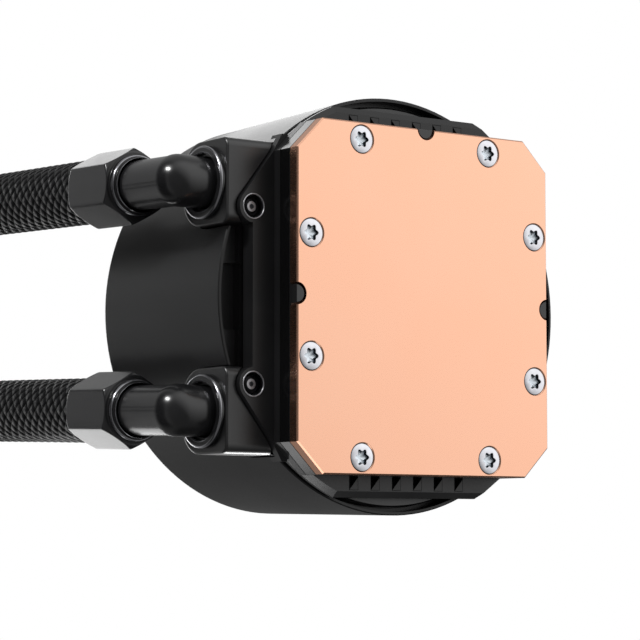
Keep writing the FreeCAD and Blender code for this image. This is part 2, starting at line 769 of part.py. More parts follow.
def make_core_tubes():
    tubes = []
    for i in range(tube_count):
        y = tube_centre(i)
        flat = box(radiator_x - core_depth / 2, radiator_x + core_depth / 2,
                   y - tube_thickness / 2, y + tube_thickness / 2, core_low_z, core_high_z)
        upright = [e for e in flat.Edges if abs(e.tangentAt(e.FirstParameter).z) > 0.99]
        tubes.append(flat.makeFillet(tube_thickness / 2 - tube_end_flat, upright))
    return Part.makeCompound(tubes)


def make_core_fins():
    """Folded strips between the tubes, each one zigzag sheet from tank to tank."""
    strips = []
    half_room = tube_gap() / 2 - slide_gap - fin_sheet
    pitch = (core_high_z - core_low_z) / fin_folds
    for gap in range(tube_count + 1):
        y = tube_centre(gap) - tube_thickness / 2 - tube_gap() / 2
        front = []
        back = []
        for i in range(fin_folds + 1):
            side = half_room if i % 2 else -half_room
            z = core_low_z + i * pitch
            front.append(V(radiator_x - core_depth / 2, y + side - fin_sheet, z))
            back.append(V(radiator_x - core_depth / 2, y + side + fin_sheet, z))
        points = front + back[::-1]
        strips.append(Part.Face(Part.makePolygon(points + points[:1])).extrude(V(core_depth, 0, 0)))
    return Part.makeCompound(strips)


def fan_hole_places():
    middle_z = (core_low_z + core_high_z) / 2
    half = fan_hole_spacing / 2
    return [(s * half, middle_z + t * half) for s in (-1, 1) for t in (-1, 1)]


def make_side_plate(side):
    """A folded channel beside the core; its two flanges carry the fan screw holes."""
    half_x = radiator_thickness / 2
    outer_y = radiator_width / 2
    web = box(radiator_x - half_x, radiator_x + half_x, outer_y - side_sheet, outer_y,
              core_low_z, core_high_z)
    flanges = []
    for x0 in (radiator_x - half_x, radiator_x + half_x - side_sheet):
        flanges.append(box(x0, x0 + side_sheet, outer_y - fan_flange_width, outer_y,
                           core_low_z, core_high_z))
    channel = fuse_all([web] + flanges)
    folds = [e for e in channel.Edges if abs(e.tangentAt(e.FirstParameter).z) > 0.99
             and e.BoundBox.YMin > outer_y - 0.001]
    channel = channel.makeFillet(side_fold, folds)
    holes = [rod(fan_hole_radius, radiator_thickness, V(radiator_x - half_x, y, z), x_axis)
             for y, z in fan_hole_places() if y > 0]
    channel = cut_all(channel, holes)
    return channel if side > 0 else mirror_y(channel)


def make_radiator_fitting(side):
    base = V(radiator_x, side * port_y, radiator_height - stub_height)
    return ring(elbow_radius, elbow_bore, hose_end_z - base.z, base)


def make_fill_plug():
    base = V(radiator_x, 0, radiator_height)
    head = rod(fill_plug_radius, fill_plug_height, base)
    head = head.makeFillet(fill_plug_height / 4,
                           [e for e in head.Edges if e.Closed and e.CenterOfMass.z > base.z + 1])
    thread = rod(fill_plug_thread, port_tank_height / 4, base, -z_axis)
    slot = box(base.x - fill_slot_width / 2, base.x + fill_slot_width / 2,
               -fill_plug_radius, fill_plug_radius, base.z + fill_plug_height / 2,
               base.z + fill_plug_height)
    return fuse_all([head, thread]).cut(slot)


def make_hose(name, route):
    """A tube of straight runs joined by tangent arcs, as large as the runs allow."""
    points = [V(*p) for p in route]
    edges = []
    radii = []
    last = points[0]
    for before, point, after in zip(points, points[1:], points[2:]):
        into = (point - before).normalize()
        away = (after - point).normalize()
        turn = into.getAngle(away)
        cut = 0.45 * min((point - before).Length, (after - point).Length)
        radii.append(cut / math.tan(turn / 2))
        start = point - into * cut
        end = point + away * cut
        towards = (away - into).normalize()
        middle = point + towards * (radii[-1] / math.cos(turn / 2) - radii[-1])
        edges.append(Part.LineSegment(last, start).toShape())
        edges.append(Part.Arc(start, middle, end).toShape())
        last = end
    edges.append(Part.LineSegment(last, points[-1]).toShape())
    path = Part.Wire(edges)
    heading = (points[1] - points[0]).normalize()
    section = Part.Wire(Part.Edge(Part.Circle(points[0], heading, hose_diameter / 2)))
    hose = path.makePipeShell([section], True, False)
    expected = math.pi * hose_diameter ** 2 / 4 * path.Length
    print(name, "radii", [round(r) for r in radii], "length %.1f" % path.Length,
          "volume ratio %.4f" % (hose.Volume / expected))
    return hose


def make_pieces():
    pieces = {
        "cold_plate": make_cold_plate(),
        "plate_screws": Part.makeCompound([make_plate_screw(x, y) for x, y in screw_places()]),
        "plate_seal": seal_ring(slide_gap, frame_z, frame_z + seal_depth),
        "seal_frame": make_seal_frame(),
        "jet_plate": make_jet_plate(),
        "pump_base": make_pump_base(),
        "ear_screws": Part.makeCompound([make_ear_screw(-1), make_ear_screw(1)]),
        "pump_housing": make_pump_housing(),
        "impeller": make_impeller(),
        "rotor_bush": ring(bush_radius, shaft_radius + slide_gap / 2,
                           rotor_z + rotor_length - impeller_z, V(0, 0, impeller_z)),
        "rotor_magnet": ring(rotor_radius, bush_radius, rotor_length, V(0, 0, rotor_z)),
        "rotor_shaft": make_shaft(),
        "pump_can": make_pump_can(),
        "stator_core": make_stator_core(),
        "stator_coils": make_coils(),
        "circuit_board": make_board(),
        "cap_shell": make_cap_shell(),
        "cap_face": make_cap_face(),
        "radiator_port_tank": make_port_tank(),
        "radiator_end_tank": make_end_tank(),
        "radiator_tubes": make_core_tubes(),
        "radiator_fins": make_core_fins(),
        "radiator_fill_plug": make_fill_plug(),
        "hose_upper": make_hose("hose_upper", upper_route),
        "hose_lower": make_hose("hose_lower", lower_route),
    }
    for name, side in (("upper", -1), ("lower", 1)):
        y = side * port_y
        pieces["port_collar_" + name] = make_collar(side)
        pieces["elbow_" + name] = make_elbow(side)
        pieces["elbow_seal_" + name] = make_elbow_seal(side)
        pieces["ferrule_" + name] = leaned(make_ferrule(-elbow_x, y, ferrule_near_z), side)
        pieces["radiator_fitting_" + name] = make_radiator_fitting(side)
        pieces["radiator_ferrule_" + name] = make_ferrule(radiator_x, y, radiator_ferrule_z)
        pieces["radiator_side_" + name] = make_side_plate(side)
    return pieces


os.makedirs("parts", exist_ok=True)
for node, shape in make_pieces().items():
    if not shape.isValid():
        print("not valid:", node)
    print("%-26s solids %2d volume %9.1f" % (node, len(shape.Solids), shape.Volume))
    shape.exportStep("parts/" + node + ".step")
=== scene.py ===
import bmesh
import bpy
import json
import math
import numpy as np
from mathutils import Matrix, Vector


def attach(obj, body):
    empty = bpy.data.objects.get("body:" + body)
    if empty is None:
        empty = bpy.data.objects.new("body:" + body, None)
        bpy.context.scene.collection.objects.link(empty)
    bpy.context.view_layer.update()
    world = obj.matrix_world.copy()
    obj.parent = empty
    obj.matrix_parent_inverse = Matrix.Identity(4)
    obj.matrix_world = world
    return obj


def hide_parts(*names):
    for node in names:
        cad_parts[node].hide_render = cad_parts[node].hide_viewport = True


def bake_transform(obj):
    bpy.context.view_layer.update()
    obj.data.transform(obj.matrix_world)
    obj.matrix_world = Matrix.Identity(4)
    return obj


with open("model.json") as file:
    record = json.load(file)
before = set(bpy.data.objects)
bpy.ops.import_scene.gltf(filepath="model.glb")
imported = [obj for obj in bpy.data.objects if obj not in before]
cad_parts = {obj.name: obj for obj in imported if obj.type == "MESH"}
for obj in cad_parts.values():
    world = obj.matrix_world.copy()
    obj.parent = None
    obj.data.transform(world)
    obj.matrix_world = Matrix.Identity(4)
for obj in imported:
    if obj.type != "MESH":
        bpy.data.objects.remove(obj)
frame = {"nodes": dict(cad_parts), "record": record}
nodes = frame["nodes"]
scene = bpy.context.scene
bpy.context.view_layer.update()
millimetre = 0.001


def cellIndex(rows, columns, wrapRows, wrapColumns):
    i = np.arange(rows if wrapRows else rows - 1)[:, None]
    j = np.arange(columns if wrapColumns else columns - 1)[None, :]
    return i, j


def gridFaces(rows, columns, wrapRows, wrapColumns):
    # a quad joins point (i, j) to its neighbours (i, j+1), (i+1, j+1) and (i+1, j)
    i, j = cellIndex(rows, columns, wrapRows, wrapColumns)
    nextI = (i + 1) % rows
    nextJ = (j + 1) % columns
    corners = [i * columns + j, i * columns + nextJ, nextI * columns + nextJ, nextI * columns + j]
    return np.stack([np.broadcast_to(c, (i.size, j.size)) for c in corners], -1).reshape(-1, 4)


def cellUv(rows, columns, wrapRows, wrapColumns, across, along):
    # each quad takes its own four corners of the map, so the map can end at a seam
    i, j = cellIndex(rows, columns, wrapRows, wrapColumns)
    u = [j, j + 1, j + 1, j]
    v = [i, i, i + 1, i + 1]
    cells = [np.stack(np.broadcast_arrays(a * across / (columns if wrapColumns else columns - 1),
                                          b * along / max(rows - 1, 1)), -1) for a, b in zip(u, v)]
    return np.stack(cells, 2).reshape(-1, 2)


def meshFrom(name, points, faces, uv=None):
    mesh = bpy.data.meshes.new(name)
    mesh.vertices.add(len(points))
    mesh.vertices.foreach_set("co", np.ascontiguousarray(points, np.float32).ravel())
    mesh.loops.add(faces.size)
    mesh.loops.foreach_set("vertex_index", faces.astype(np.int32).ravel())
    mesh.polygons.add(len(faces))
    mesh.polygons.foreach_set("loop_start", np.arange(0, faces.size, 4, dtype=np.int32))
    if uv is not None:
        layer = mesh.uv_layers.new(name="UVMap")
        layer.data.foreach_set("uv", uv.astype(np.float32).ravel())
    mesh.update(calc_edges=True)
    mesh.validate()
    return mesh


mergeDistance = 2e-7


def addPiece(name, grids, finish, replaced, body="root", uv=None, sharp=32.0):
    # grids are (points, wrapRows, wrapColumns); doubles are merged before the normals are set
    allPoints = []
    allFaces = []
    start = 0
    for points, wrapRows, wrapColumns in grids:
        rows, columns = points.shape[:2]
        allPoints.append(points.reshape(-1, 3))
        allFaces.append(gridFaces(rows, columns, wrapRows, wrapColumns) + start)
        start += rows * columns
    mesh = meshFrom(name, np.concatenate(allPoints), np.concatenate(allFaces), uv)
    shape = bmesh.new()
    shape.from_mesh(mesh)
    bmesh.ops.remove_doubles(shape, verts=shape.verts, dist=mergeDistance)
    bmesh.ops.recalc_face_normals(shape, faces=shape.faces)
    shape.to_mesh(mesh)
    shape.free()
    mesh.shade_smooth()
    mesh.set_sharp_from_angle(angle=math.radians(sharp))
    piece = bpy.data.objects.new(name, mesh)
    scene.collection.objects.link(piece)
    mesh.materials.append(finish)
    if replaced:
        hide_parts(*replaced)
    if body:
        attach(piece, body)
    return piece


def roundCorners(profile, reach, steps=5):
    # each corner becomes a quadratic curve from reach before it to reach after it, on a closed profile,
    # and takes at most this share of a side
    most = 0.45
    corner = np.asarray(profile, float)
    reach = np.broadcast_to(np.asarray(reach, float), len(corner))[:, None]
    into = np.roll(corner, 1, 0) - corner
    away = np.roll(corner, -1, 0) - corner
    intoLength = np.linalg.norm(into, axis=1, keepdims=True)
    awayLength = np.linalg.norm(away, axis=1, keepdims=True)
    start = corner + into / intoLength * np.minimum(reach, most * intoLength)
    end = corner + away / awayLength * np.minimum(reach, most * awayLength)
    t = np.linspace(0.0, 1.0, steps)[None, :, None]
    curve = start[:, None] * (1 - t) ** 2 + 2 * corner[:, None] * t * (1 - t) + end[:, None] * t ** 2
    return curve.reshape(-1, 2)


# how sharply a turned profile meets its limit, and from which share of the limit on
meeting = {"sharpness": 18.0 / millimetre, "share": 0.8}


def turned(profile, centre, axis, first, columns, limit=None):
    # a profile of (radius, height) turned round an axis; limit(angle) caps the radius, as a hexagon does:
    # radius = lower of the two - log(1 + exp(-k * gap)) / k
    axis = np.asarray(axis, float)
    first = np.asarray(first, float)
    second = np.cross(axis, first)
    angle = np.linspace(0.0, 2 * math.pi, columns, endpoint=False)
    radius = np.repeat(np.asarray(profile)[:, :1], columns, 1)
    height = np.asarray(profile)[:, 1:]
    if limit is not None:
        k = meeting["sharpness"]
        edge = limit(angle)[None, :]
        low = np.minimum(radius, edge)
        gap = np.abs(radius - edge)
        radius = low - np.log1p(np.exp(-k * gap)) / k * (radius > meeting["share"] * edge)
    ring = np.cos(angle)[:, None] * first + np.sin(angle)[:, None] * second
    return np.asarray(centre, float) + radius[:, :, None] * ring[None] + height[:, :, None] * axis


def calc(tree, operation, *values):
    node = tree.nodes.new("ShaderNodeMath")
    node.operation = operation
    for socket, value in zip(node.inputs, values):
        if isinstance(value, (int, float)):
            socket.default_value = value
        else:
            tree.links.new(value, socket)
    return node.outputs[0]


noiseLook = {"detail": 3.0, "rough": 0.55}


def grain(tree, source, scale, stretch=None):
    if stretch:
        mapping = tree.nodes.new("ShaderNodeMapping")
        mapping.inputs["Scale"].default_value = stretch
        tree.links.new(source, mapping.inputs["Vector"])
        source = mapping.outputs[0]
    noise = tree.nodes.new("ShaderNodeTexNoise")
    noise.inputs["Scale"].default_value = scale
    noise.inputs["Detail"].default_value = noiseLook["detail"]
    noise.inputs["Roughness"].default_value = noiseLook["rough"]
    tree.links.new(source, noise.inputs["Vector"])
    return noise.outputs[0]


def spread(tree, source, low, high, fromLow=0.3, fromHigh=0.7):
    node = tree.nodes.new("ShaderNodeMapRange")
    tree.links.new(source, node.inputs["Value"])
    node.inputs["From Min"].default_value = fromLow
    node.inputs["From Max"].default_value = fromHigh
    node.inputs["To Min"].default_value = low
    node.inputs["To Max"].default_value = high
    return node.outputs[0]


def blendColour(tree, factor, first, second):
    # each colour is a triple or another node's output
    node = tree.nodes.new("ShaderNodeMix")
    node.data_type = "RGBA"
    tree.links.new(factor, node.inputs["Factor"])
    for socket, colour in ((node.inputs[6], first), (node.inputs[7], second)):
        if isinstance(colour, tuple):
            socket.default_value = (*colour, 1.0)
        else:
            tree.links.new(colour, socket)
    return node.outputs[2]


def coverColour(tree, surface, mask, colour):
    # another colour over the present one, where the mask is 1
    present = surface.inputs["Base Color"].links[0].from_socket
    tree.links.new(blendColour(tree, mask, present, colour), surface.inputs["Base Color"])


def coordinates(tree, kind="Object"):
    return tree.nodes.new("ShaderNodeTexCoord").outputs[kind]


def axesOf(tree, vector):
    apart = tree.nodes.new("ShaderNodeSeparateXYZ")
    tree.links.new(vector, apart.inputs[0])
    return apart.outputs


def bump(tree, height, distance, strength):
    node = tree.nodes.new("ShaderNodeBump")
    node.inputs["Strength"].default_value = strength
    node.inputs["Distance"].default_value = distance
    tree.links.new(height, node.inputs["Height"])
    return node.outputs[0]


def makeMaterial(name):
    material = bpy.data.materials.new(name)
    material.use_nodes = True
    tree = material.node_tree
    return material, tree, next(n for n in tree.nodes if n.type == "BSDF_PRINCIPLED")


def makeFinish(name, look):
    # two near colours mixed by a broad noise, a roughness that wanders, and a fine grain as bump
    material, tree, surface = makeMaterial(name)
    where = coordinates(tree)
    broad = grain(tree, where, look["patch"])
    fine = grain(tree, where, look["grain"], look.get("stretch"))
    colour = blendColour(tree, spread(tree, broad, 0.0, 1.0), look["dark"], look["light"])
    tree.links.new(colour, surface.inputs["Base Color"])
    # the mean of two noises stays nearer to 0.5 than each of them, so its range is narrower
    mixed = calc(tree, "ADD", calc(tree, "MULTIPLY", broad, 0.5), calc(tree, "MULTIPLY", fine, 0.5))
    tree.links.new(spread(tree, mixed, *look["rough"], 0.35, 0.65), surface.inputs["Roughness"])
    tree.links.new(bump(tree, fine, look["depth"], look["bump"]), surface.inputs["Normal"])
    surface.inputs["Metallic"].default_value = look.get("metal", 0.0)
    surface.inputs["Specular IOR Level"].default_value = look.get("gloss", 0.5)
    surface.inputs["Coat Weight"].default_value = look.get("coat", 0.0)
    surface.inputs["Coat Roughness"].default_value = look.get("coatRough", 0.1)
    return material, tree, surface


moulded = {"dark": (0.004, 0.004, 0.0043), "light": (0.0065, 0.0065, 0.007), "patch": 60.0,
           "grain": 5200.0, "rough": (0.30, 0.38), "depth": 0.00002, "bump": 0.18, "gloss": 0.5}
looks = {
    "copper": {"dark": (0.985, 0.54, 0.365), "light": (1.0, 0.565, 0.39), "metal": 1.0, "patch": 45.0,
               "grain": 900.0, "stretch": (1.0, 30.0, 1.0), "rough": (0.24, 0.30), "depth": 0.00002,
               "bump": 0.08},
    "screw_steel": {"dark": (0.68, 0.68, 0.72), "light": (0.80, 0.80, 0.84), "metal": 1.0,
                    "patch": 600.0, "grain": 4000.0, "rough": (0.20, 0.32), "depth": 0.00001,
                    "bump": 0.2},
    "dark_screw": {"dark": (0.10, 0.10, 0.11), "light": (0.22, 0.22, 0.24), "metal": 1.0,
                   "patch": 500.0, "grain": 4000.0, "rough": (0.28, 0.42), "depth": 0.00002,
                   "bump": 0.3},
    "seal_rubber": {"dark": (0.012, 0.012, 0.012), "light": (0.022, 0.022, 0.022), "patch": 200.0,
                    "grain": 5000.0, "rough": (0.6, 0.75), "depth": 0.00003, "bump": 0.3},
    "moulded_black": moulded,
    "housing_black": {**moulded, "gloss": 0.75},
    # the seal frame's colours are darker than the moulded black, a painted shade for the frame sunk between
    # plate and base
    "frame_black": {**moulded, "dark": (0.0015, 0.0015, 0.0016), "light": (0.0025, 0.0025, 0.0027),
                    "rough": (0.15, 0.21), "depth": 0.00001, "bump": 0.1},
    "cap_black": {**moulded, "patch": 45.0, "grain": 4600.0, "bump": 0.15, "gloss": 0.42},
    "cap_gloss": {"dark": (0.009, 0.009, 0.01), "light": (0.013, 0.013, 0.014), "patch": 40.0,
                  "grain": 3000.0, "rough": (0.10, 0.16), "depth": 0.00001, "bump": 0.08,
                  "coat": 0.6, "coatRough": 0.05},
    "fitting_black": {"dark": (0.006, 0.006, 0.0065), "light": (0.010, 0.010, 0.0108), "patch": 120.0,
                      "grain": 6000.0, "rough": (0.18, 0.26), "depth": 0.00001, "bump": 0.12,
                      "gloss": 0.6},
    "radiator_paint": {"dark": (0.012, 0.012, 0.0125), "light": (0.02, 0.02, 0.021), "patch": 50.0,
                       "grain": 2600.0, "rough": (0.42, 0.55), "depth": 0.00005, "bump": 0.35},
    "radiator_core": {"dark": (0.012, 0.012, 0.013), "light": (0.03, 0.03, 0.032), "patch": 90.0,
                      "grain": 3000.0, "rough": (0.38, 0.5), "depth": 0.00003, "bump": 0.3,
                      "metal": 0.3},
    "inner_plastic": {"dark": (0.6, 0.6, 0.56), "light": (0.7, 0.7, 0.66), "patch": 70.0,
                      "grain": 3500.0, "rough": (0.35, 0.45), "depth": 0.00002, "bump": 0.15},
    "magnet": {"dark": (0.05, 0.05, 0.053), "light": (0.09, 0.09, 0.094), "patch": 150.0,
               "grain": 3500.0, "rough": (0.45, 0.6), "depth": 0.00004, "bump": 0.4},
    "ceramic": {"dark": (0.78, 0.78, 0.75), "light": (0.86, 0.86, 0.83), "patch": 150.0,
                "grain": 4000.0, "rough": (0.12, 0.2), "depth": 0.00001, "bump": 0.08},
    "lamination": {"dark": (0.30, 0.30, 0.32), "light": (0.46, 0.46, 0.48), "metal": 1.0,
                   "patch": 120.0, "grain": 1400.0, "stretch": (1.0, 1.0, 3.0), "rough": (0.3, 0.45),
                   "depth": 0.00005, "bump": 0.5},
    "winding": {"dark": (0.50, 0.20, 0.07), "light": (0.68, 0.30, 0.11), "metal": 1.0, "patch": 200.0,
                "grain": 1600.0, "stretch": (1.0, 1.0, 4.0), "rough": (0.22, 0.34), "depth": 0.00008,
                "bump": 0.6},
    "board": {"dark": (0.01, 0.075, 0.035), "light": (0.018, 0.11, 0.05), "patch": 300.0,
              "grain": 2500.0, "rough": (0.3, 0.45), "depth": 0.00003, "bump": 0.3},
}
finishes = {name: makeFinish(name, look)[0] for name, look in looks.items()}

braid = {"strands": 14, "yarns": 4, "dark": (0.0010, 0.0010, 0.0011), "light": (0.007, 0.007, 0.0075),
         "rough": (0.30, 0.44), "fuzz": 2500.0, "fuzzLow": 0.7, "depth": 0.0003, "bump": 0.9,
         "gloss": 0.05, "sheen": 0.012, "sheenRough": 0.4, "offset": 4000.0, "crown": 0.6,
         "low": 0.45, "rise": 0.55, "yarnRise": 0.10, "shadeFrom": 0.25}


def makeBraid():
    # strands cross at slanted cells of the map: (u+v) and (u-v); in each cell one family lies on top
    # the offset keeps both sums above zero, where FRACT and MODULO count on evenly
    material, tree, surface = makeMaterial("hose_braid")
    u, v, _ = axesOf(tree, coordinates(tree, "UV"))
    first = calc(tree, "ADD", calc(tree, "ADD", u, v), braid["offset"])
    second = calc(tree, "ADD", calc(tree, "SUBTRACT", u, v), braid["offset"])
    partFirst = calc(tree, "FRACT", first)
    partSecond = calc(tree, "FRACT", second)
    cells = calc(tree, "ADD", calc(tree, "FLOOR", first), calc(tree, "FLOOR", second))
    onTop = calc(tree, "GREATER_THAN", calc(tree, "MODULO", calc(tree, "ADD", cells, 0.5), 2.0), 1.0)
    heights = []
    for across, along in ((partFirst, partSecond), (partSecond, partFirst)):
        crown = calc(tree, "SINE", calc(tree, "MULTIPLY", across, math.pi))
        wave = calc(tree, "SINE", calc(tree, "MULTIPLY", along, math.pi))
        yarn = calc(tree, "ABSOLUTE",
                    calc(tree, "SINE", calc(tree, "MULTIPLY", across, braid["yarns"] * math.pi)))
        body = calc(tree, "MULTIPLY", calc(tree, "POWER", crown, braid["crown"]),
                    calc(tree, "ADD", calc(tree, "MULTIPLY", wave, braid["rise"]), braid["low"]))
        heights.append(calc(tree, "ADD", body, calc(tree, "MULTIPLY", yarn, braid["yarnRise"])))
    top = calc(tree, "MULTIPLY", heights[0], onTop)
    under = calc(tree, "MULTIPLY", heights[1], calc(tree, "SUBTRACT", 1.0, onTop))
    height = calc(tree, "ADD", top, under)
    fuzz = grain(tree, coordinates(tree), braid["fuzz"])
    # the colour darkens from the strand crests into the valleys between strands, a painted shade; the fuzz
    # varies the tone at random
    shade = calc(tree, "MULTIPLY", spread(tree, height, 0.0, 1.0, braid["shadeFrom"], 1.0),
                 spread(tree, fuzz, braid["fuzzLow"], 1.0))
    tree.links.new(blendColour(tree, shade, braid["dark"], braid["light"]), surface.inputs["Base Color"])
    tree.links.new(spread(tree, fuzz, *braid["rough"]), surface.inputs["Roughness"])
    tree.links.new(bump(tree, height, braid["depth"], braid["bump"]), surface.inputs["Normal"])
    surface.inputs["Specular IOR Level"].default_value = braid["gloss"]
    surface.inputs["Sheen Weight"].default_value = braid["sheen"]
    surface.inputs["Sheen Roughness"].default_value = braid["sheenRough"]
    return material


finishes["hose_braid"] = makeBraid()
# two nodes take a finish of their own within their slot; the seal frame's is darker, a painted shade
ownFinish = {"seal_frame": "frame_black", "pump_housing": "housing_black"}
for part in frame["record"]["subparts"]:
    node = nodes[part["node"]]
    node.data.materials.clear()
    node.data.materials.append(finishes[ownFinish.get(part["node"], part["material_slot"])])
print("finishes", len(finishes))

hose = {"diameter": 0.0117, "columns": 96, "rows": 900, "cell": 0.0025, "swell": 0.00016,
        "weaveLow": 0.35, "weaveRise": 0.65, "weaveMean": 0.7, "fade": (-0.114, 0.152), "pathStep": 6,
        "curveSteps": 24, "curveOrder": 3}
# control points from the pump's fitting to the radiator's
routes = {
    "Upper": [(-0.0431, -0.02102, 0.0402), (-0.0431, -0.02383, 0.1100), (-0.0495, -0.0262, 0.1900),
              (-0.0715, -0.0272, 0.2590), (-0.1090, -0.0260, 0.2890), (-0.1610, -0.0235, 0.2870),
              (-0.1970, -0.0215, 0.2515), (-0.2065, -0.0200, 0.2120), (-0.2065, -0.0200, 0.18212)],
    "Lower": [(-0.0431, 0.01898, 0.0402), (-0.0431, 0.0162, 0.1093), (-0.0480, 0.0149, 0.1870),
              (-0.0680, 0.0148, 0.2550), (-0.1050, 0.0160, 0.2845), (-0.1575, 0.0180, 0.2840),
              (-0.1960, 0.0193, 0.2500), (-0.2065, 0.0200, 0.2110), (-0.2065, 0.0200, 0.18212)],
}


def splinePoints(name, route):
    # points along the smooth curve that a route's control points steer
    curve = bpy.data.curves.new(name, "CURVE")
    curve.dimensions = "3D"
    curve.resolution_u = hose["curveSteps"]
    spline = curve.splines.new("NURBS")
    spline.points.add(len(route) - 1)
    spline.points.foreach_set("co", np.column_stack([route, np.ones(len(route))]).ravel())
    spline.order_u = hose["curveOrder"]
    spline.use_endpoint_u = True
    line = bpy.data.objects.new(name, curve)
    scene.collection.objects.link(line)
    bpy.context.view_layer.update()
    mesh = bpy.data.meshes.new_from_object(line.evaluated_get(bpy.context.evaluated_depsgraph_get()))
    found = np.empty(len(mesh.vertices) * 3, np.float32)
    mesh.vertices.foreach_get("co", found)
    bpy.data.objects.remove(line)
    bpy.data.meshes.remove(mesh)
    return found.reshape(-1, 3).astype(float)


def evenly(points, count):
    # the same line again at equal steps along its length
    step = np.linalg.norm(np.diff(points, axis=0), axis=1)
    along = np.concatenate([[0.0], np.cumsum(step)])
    wanted = np.linspace(0.0, along[-1], count)
    return np.stack([np.interp(wanted, along, points[:, k]) for k in range(3)], 1), along[-1]


def weave(u, v):
    # the height of the upper strand: sqrt(sin(pi a)) across it, times low + rise * sin(pi b) along it
    first, second = u + v, u - v
    over = (np.floor(first) + np.floor(second)) % 2 < 1
    a, b = first % 1.0, second % 1.0
    across = np.where(over, a, b)
    along = np.where(over, b, a)
    strand = hose["weaveLow"] + hose["weaveRise"] * np.sin(math.pi * along)
    return np.sqrt(np.sin(math.pi * across)) * strand


def makeHose(side):
    rows, columns = hose["rows"], hose["columns"]
    centre, length = evenly(splinePoints("route" + side, routes[side]), rows)
    tangent = np.gradient(centre, axis=0)
    tangent /= np.linalg.norm(tangent, axis=1, keepdims=True)
    first = np.array([0.0, 1.0, 0.0]) - tangent * tangent[:, 1:2]
    first /= np.linalg.norm(first, axis=1, keepdims=True)
    second = np.cross(tangent, first)
    angle = np.linspace(0.0, 2 * math.pi, columns, endpoint=False)
    u = (angle / (2 * math.pi) * braid["strands"])[None, :]
    v = np.linspace(0.0, length / hose["cell"], rows)[:, None]
    radius = hose["diameter"] / 2 + hose["swell"] * (weave(u, v) - hose["weaveMean"])
    ring = np.cos(angle)[None, :, None] * first[:, None] + np.sin(angle)[None, :, None] * second[:, None]
    points = centre[:, None] + radius[:, :, None] * ring
    ends = np.stack([centre[:1], centre[-1:]])
    closed = np.concatenate([np.repeat(ends[:1], columns, 1), points, np.repeat(ends[1:], columns, 1)])
    uv = cellUv(rows, columns, False, True, braid["strands"], length / hose["cell"])
    lastRow = columns * 4
    uv = np.concatenate([uv[:lastRow], uv, uv[-lastRow:]])
    piece = addPiece("hose" + side, [(closed, False, True)], finishes["hose_braid"],
                     ["hose_" + side.lower()], None, uv, 60.0)
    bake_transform(piece)
    print("hose", side, "length", round(length, 4))


for side in ("Upper", "Lower"):
    makeHose(side)

port = {"y": 0.020, "z": 0.015, "elbowX": -0.0431, "lean": math.radians(2.3)}
radiator = {"x": -0.2065, "ferruleZ": 0.1709}
# shine: the period and width of the rows that take the painted highlight, and the first and last row that may
# take it
ferrule = {"flats": 0.0121, "length": 0.0134, "nearZ": 0.029, "edge": 0.0008, "bore": 0.0046,
           "nose": 0.00495, "noseLength": 0.0020, "lip": 0.0001, "step": 0.0055, "stepLength": 0.0012,
           "columns": 180, "steps": 6, "bevelRows": 9,
           "shine": (12.0, 0.42, 12.0, 29.0)}
collar = {"faceX": -0.0384, "bossX": -0.0374, "radius": 0.0065, "thread": 0.0049, "bore": 0.0046,
          "depth": 0.0035, "mouth": 0.0051, "mouthDepth": 0.0009, "columns": 128,
          "shine": (5.0, 0.8, 10.0, 19.0)}
elbow = {"radius": 0.0043, "dome": 0.0046, "upright": 0.00445, "bore": 0.0030, "spigot": 0.0043,
         "stepX": -0.0338, "endX": -0.0289, "topZ": 0.0401, "shoulder": 0.0065, "neck": 0.0012,
         "deep": 0.0060, "bevel": 0.0002, "fine": 0.0001, "columns": 72, "turns": 19}
# the grey metal colour of the painted highlight on the rounded edges
paintedEdgeHighlight = (0.36, 0.36, 0.38)


def legDirection(lean):
    return np.array([0.0, -math.sin(lean), math.cos(lean)])


def hexRadius(angle):
    # the distance to a hexagon's side, with flats towards the first direction
    flats = ferrule["flats"]
    turn = (angle + math.pi / 6) % (math.pi / 3) - math.pi / 6
    return flats / 2 / np.cos(turn)


def makeEdgeHighlightFinish(name, period, width, low, high):
    # v of the map counts profile rows: the rows with fract(v / period) < width, from low to high, take a grey
    # metal colour, a painted highlight on the rounded edges
    material, tree, surface = makeFinish(name, looks["fitting_black"])
    v = axesOf(tree, coordinates(tree, "UV"))[1]
    inRow = calc(tree, "LESS_THAN", calc(tree, "FRACT", calc(tree, "DIVIDE", v, period)), width)
    inside = calc(tree, "MULTIPLY", calc(tree, "GREATER_THAN", v, low - 0.5),
                  calc(tree, "LESS_THAN", v, high + 0.5))
    mask = calc(tree, "MULTIPLY", inRow, inside)
    coverColour(tree, surface, mask, paintedEdgeHighlight)
    tree.links.new(mask, surface.inputs["Metallic"])
    return material


ferruleFinish = makeEdgeHighlightFinish("ferrule_black", *ferrule["shine"])
collarFinish = makeEdgeHighlightFinish("collar_black", *collar["shine"])


def rowUv(rows, columns):
    # a map whose v counts the rows of a closed profile
    return cellUv(rows + 1, columns, False, True, 1.0, rows)


